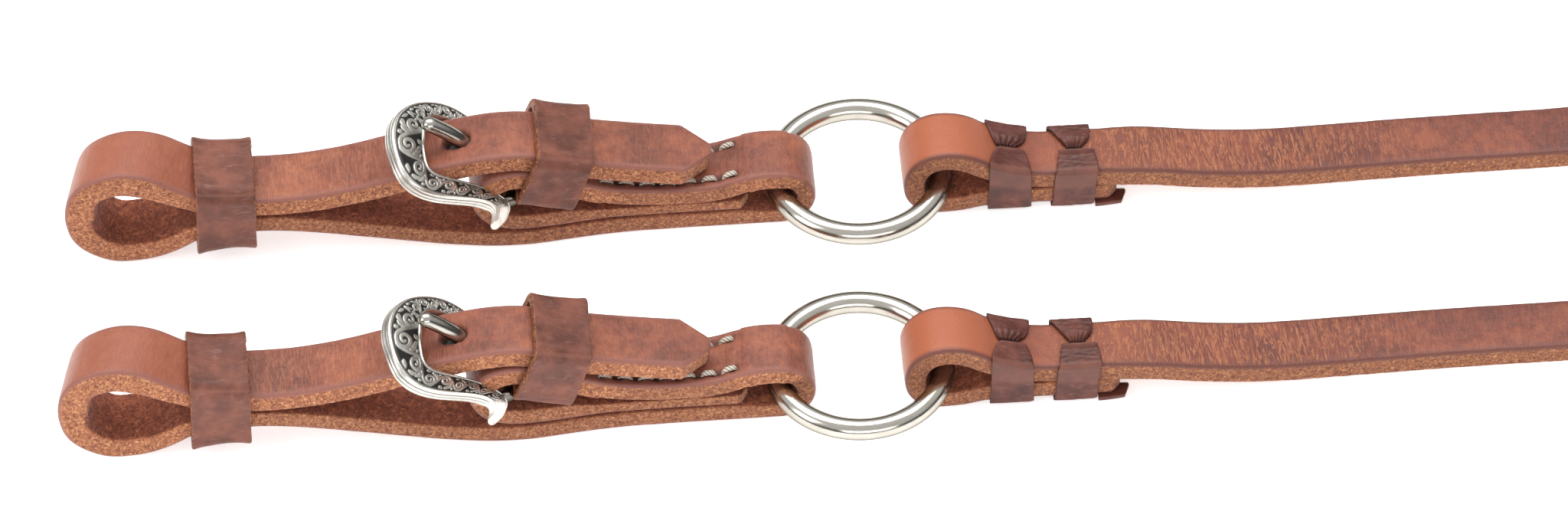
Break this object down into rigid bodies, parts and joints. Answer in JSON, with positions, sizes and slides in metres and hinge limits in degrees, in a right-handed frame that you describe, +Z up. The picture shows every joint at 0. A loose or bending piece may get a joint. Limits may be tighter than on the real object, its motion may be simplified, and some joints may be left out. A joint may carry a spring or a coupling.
{
  "type": "pair of leather split reins",
  "caption": "Pair of leather split reins: buckled bit-end straps with loops and keepers, joined by metal rings to laced rein ends, with the long straps tied up in a flat hank.",
  "frame": {"origin": "on the resting surface, in the middle of the flat underside of the far rein's bit strap (the one at +Y)", "axes": "+X along the reins from the bit loops to the hank, +Z up from the surface, +Y away from the viewer, from the near rein to the far one"},
  "size_m": [0.5851, 0.1013, 0.035],
  "materials": {
    "bit_leather": "waxed harness leather, grain side, reddish brown",
    "rein_leather": "oiled harness leather, rust brown, burnished edges",
    "keeper_leather": "waxed harness leather, dark",
    "lace_leather": "oil-tanned latigo, dark chocolate",
    "thread": "waxed ivory linen thread",
    "buckle_silver": "antiqued silver plate, blackened scroll engraving, polished rim",
    "buckle_steel": "polished nickel plate",
    "ring_steel": "polished nickel-plated steel"
  },
  "bodies": {
    "reins": {"far_rein_end_loop": "rein_leather", "far_lace_front": "lace_leather", "far_lace_rear": "lace_leather", "far_rein_strap": "rein_leather", "far_rein_hank": "rein_leather", "near_rein_end_loop": "rein_leather", "near_lace_front": "lace_leather", "near_lace_rear": "lace_leather", "near_rein_strap": "rein_leather", "near_rein_hank": "rein_leather", "hank_ties": "lace_leather"},
    "far_ring": {"far_ring": "ring_steel"},
    "far_bit_end": {"far_bit_strap": "bit_leather", "far_billet_keeper": "keeper_leather", "far_buckle_bar": "buckle_steel", "far_chape_stitching": "thread"},
    "far_buckle_frame": {"far_buckle_frame": "buckle_silver"},
    "far_buckle_tongue": {"far_buckle_tongue": "buckle_steel"},
    "far_bit_keeper": {"far_bit_keeper": "keeper_leather"},
    "near_ring": {"near_ring": "ring_steel"},
    "near_bit_end": {"near_bit_strap": "bit_leather", "near_billet_keeper": "keeper_leather", "near_buckle_bar": "buckle_steel", "near_chape_stitching": "thread"},
    "near_buckle_frame": {"near_buckle_frame": "buckle_silver"},
    "near_buckle_tongue": {"near_buckle_tongue": "buckle_steel"},
    "near_bit_keeper": {"near_bit_keeper": "keeper_leather"}
  },
  "joints": [
    {"name": "far_ring_swing", "type": "hinge", "parent": "reins", "child": "far_ring", "pos_m": [0.06397, 0, 0.00797], "axis": [0, 1, 0], "range_deg": [-90, 90]},
    {"name": "far_bit_end_swing", "type": "hinge", "parent": "far_ring", "child": "far_bit_end", "pos_m": [0.0286, 0, 0.00797], "axis": [0, 1, 0], "range_deg": [-90, 90]},
    {"name": "far_buckle_frame_tilt", "type": "hinge", "parent": "far_bit_end", "child": "far_buckle_frame", "pos_m": [-0.0293, 0, 0.01422], "axis": [0, 1, 0], "range_deg": [-2, 1.5]},
    {"name": "far_tongue_tilt", "type": "hinge", "parent": "far_bit_end", "child": "far_buckle_tongue", "pos_m": [-0.0293, 0, 0.01422], "axis": [0, 1, 0], "range_deg": [-1, 1]},
    {"name": "far_bit_keeper_slide", "type": "slide", "parent": "far_bit_end", "child": "far_bit_keeper", "axis": [1, 0, 0], "range_m": [0, 0.008]},
    {"name": "near_ring_swing", "type": "hinge", "parent": "reins", "child": "near_ring", "pos_m": [0.05947, -0.0561, 0.00797], "axis": [0, 1, 0], "range_deg": [-90, 90]},
    {"name": "near_bit_end_swing", "type": "hinge", "parent": "near_ring", "child": "near_bit_end", "pos_m": [0.0241, -0.0561, 0.00797], "axis": [0, 1, 0], "range_deg": [-90, 90]},
    {"name": "near_buckle_frame_tilt", "type": "hinge", "parent": "near_bit_end", "child": "near_buckle_frame", "pos_m": [-0.0338, -0.0561, 0.01422], "axis": [0, 1, 0], "range_deg": [-2, 1.5]},
    {"name": "near_tongue_tilt", "type": "hinge", "parent": "near_bit_end", "child": "near_buckle_tongue", "pos_m": [-0.0338, -0.0561, 0.01422], "axis": [0, 1, 0], "range_deg": [-1, 1]},
    {"name": "near_bit_keeper_slide", "type": "slide", "parent": "near_bit_end", "child": "near_bit_keeper", "axis": [1, 0, 0], "range_m": [0, 0.008]}
  ]
}
